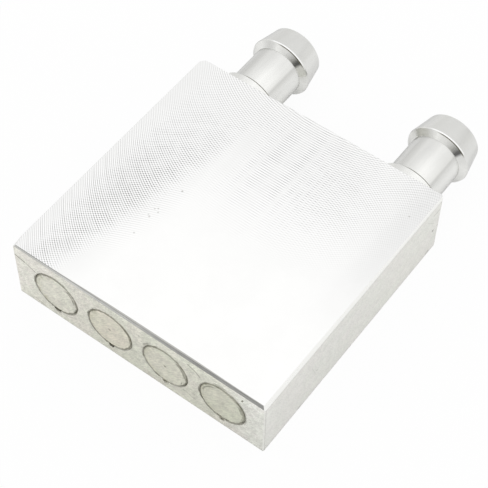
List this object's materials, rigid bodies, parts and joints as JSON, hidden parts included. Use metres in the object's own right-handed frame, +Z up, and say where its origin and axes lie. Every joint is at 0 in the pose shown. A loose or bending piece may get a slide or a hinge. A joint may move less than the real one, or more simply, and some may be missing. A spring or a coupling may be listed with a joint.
{
  "type": "liquid cooling cold plate",
  "caption": "Square milled aluminium cold plate for liquid cooling, with drilled coolant channels closed by round pressed plugs and barbed hose fittings on the opposite edge face.",
  "frame": {"origin": "centre of the block's bottom face", "axes": "+Z up through the block, +X along the row of channel plugs, +Y from the plugged face to the face with the hose fittings"},
  "size_m": [0.04, 0.0533, 0.0107],
  "materials": {
    "milled_block": "face-milled aluminium, with crossed cutter arcs on the large faces and saw-grey edge faces",
    "plugs": "turned and dressed flush, slightly darker than the block",
    "fittings": "bright turned aluminium"
  },
  "bodies": {
    "root": {"cold_plate_block": "milled_block", "channel_plug_1": "plugs", "channel_plug_2": "plugs", "channel_plug_3": "plugs", "channel_plug_4": "plugs", "inlet_fitting": "fittings", "outlet_fitting": "fittings"}
  },
  "joints": []
}
